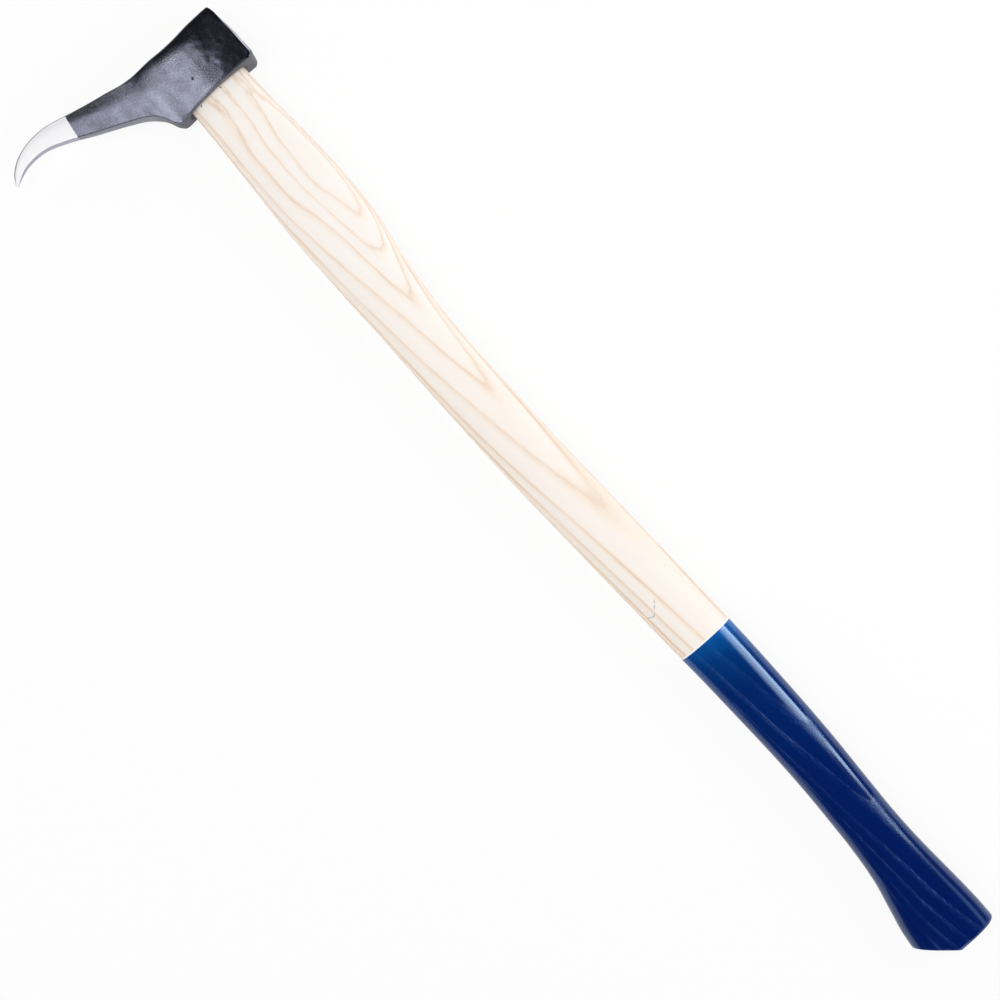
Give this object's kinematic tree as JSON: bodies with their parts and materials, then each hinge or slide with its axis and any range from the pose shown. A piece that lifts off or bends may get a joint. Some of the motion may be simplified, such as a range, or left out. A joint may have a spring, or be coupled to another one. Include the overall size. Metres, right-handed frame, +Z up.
{
  "type": "pickaroon",
  "caption": "Timber pick with a forged steel head, curved ground point and flat poll, wedged onto a long ash handle with a swelled throat, lacquered grip and angled butt.",
  "frame": {"origin": "bottom centre of the bounding box, with the tool lying on its side", "axes": "+X along the handle from the head to the butt, +Y from the point of the pick to the poll, +Z up through the cheeks of the head"},
  "size_m": [0.8142, 0.1784, 0.03],
  "materials": {
    "black_lacquered_steel": "satin black lacquer on forged steel, with the point ground bare",
    "ash": "pale ash, sanded and waxed",
    "beech": "raw beech end grain",
    "bare_steel": "turned bare steel",
    "blue_lacquer": "glossy dip coat that shows the grain below it"
  },
  "bodies": {
    "root": {"head": "black_lacquered_steel", "handle": "ash", "wood_wedge": "beech", "ring_wedge": "bare_steel", "grip_lacquer": "blue_lacquer"}
  },
  "joints": []
}
